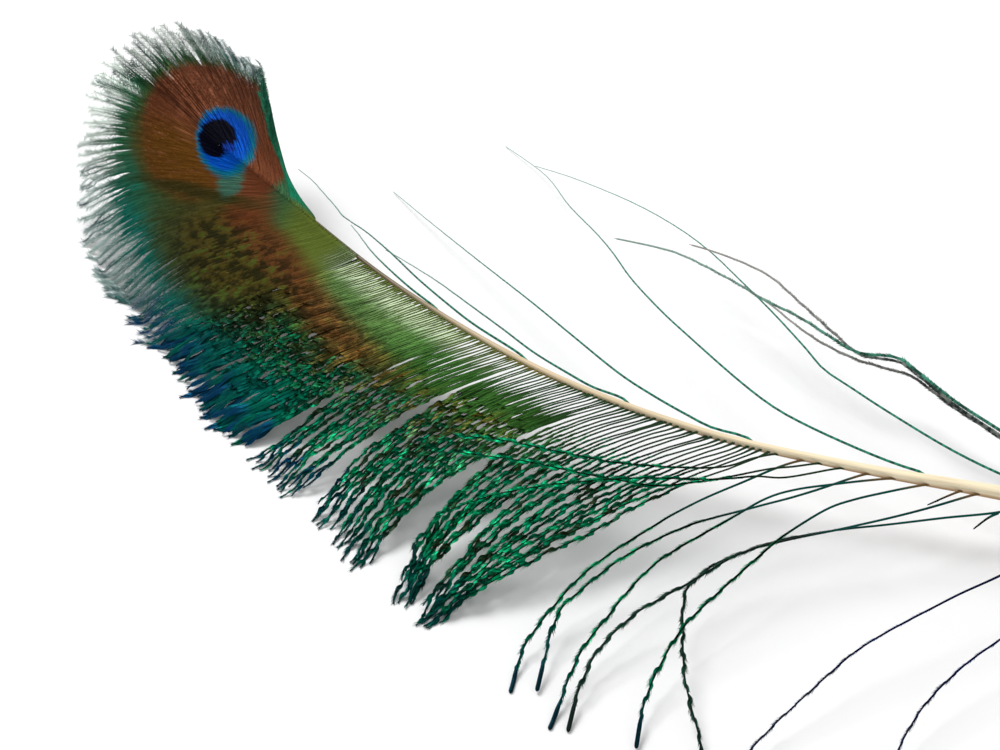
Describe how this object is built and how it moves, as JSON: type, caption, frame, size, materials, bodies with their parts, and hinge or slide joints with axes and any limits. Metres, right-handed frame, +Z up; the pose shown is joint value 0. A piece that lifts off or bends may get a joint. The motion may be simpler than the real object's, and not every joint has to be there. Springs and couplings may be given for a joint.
{
  "type": "peacock feather",
  "caption": "Peacock eye feather lying on its side: a tapering curved shaft, a green barbed vane on one side, long loose barbs, and a copper eye with a blue and navy spot at the tip.",
  "frame": {"origin": "on the surface that the feather lies on, below the centre of its box", "axes": "+X towards the quill's end, +Y away from the full vane, +Z up"},
  "size_m": [0.2686, 0.2055, 0.041],
  "materials": {
    "shaft": "pale horn, smooth, tan along its edges",
    "eye": "iridescent barbs, copper round a blue spot with a navy heart",
    "vane": "iridescent barbs, emerald and teal, bronze near the eye",
    "barb": "thin loose barbs, dark green with a slight sheen",
    "down": "soft grey down"
  },
  "bodies": {
    "root": {"shaft": "shaft", "eye_vane": "eye", "near_lock_1": "vane", "near_lock_2": "vane", "near_lock_3": "vane", "near_lock_4": "vane", "near_lock_5": "vane", "near_lock_6": "vane", "near_barb_1": "barb", "near_barb_2": "barb", "near_barb_3": "barb", "near_barb_4": "barb", "near_barb_5": "barb", "near_barb_6": "barb", "near_barb_7": "barb", "near_barb_8": "barb", "stray_barb_1": "vane", "stray_barb_2": "vane", "stray_barb_3": "vane", "far_barb_1": "barb", "far_barb_2": "barb", "far_barb_3": "barb", "far_barb_4": "barb", "far_barb_5": "barb", "far_barb_6": "barb", "far_barb_7": "barb", "far_barb_8": "barb", "far_barb_9": "barb", "down_tuft_1": "down", "down_tuft_2": "down"}
  },
  "joints": []
}
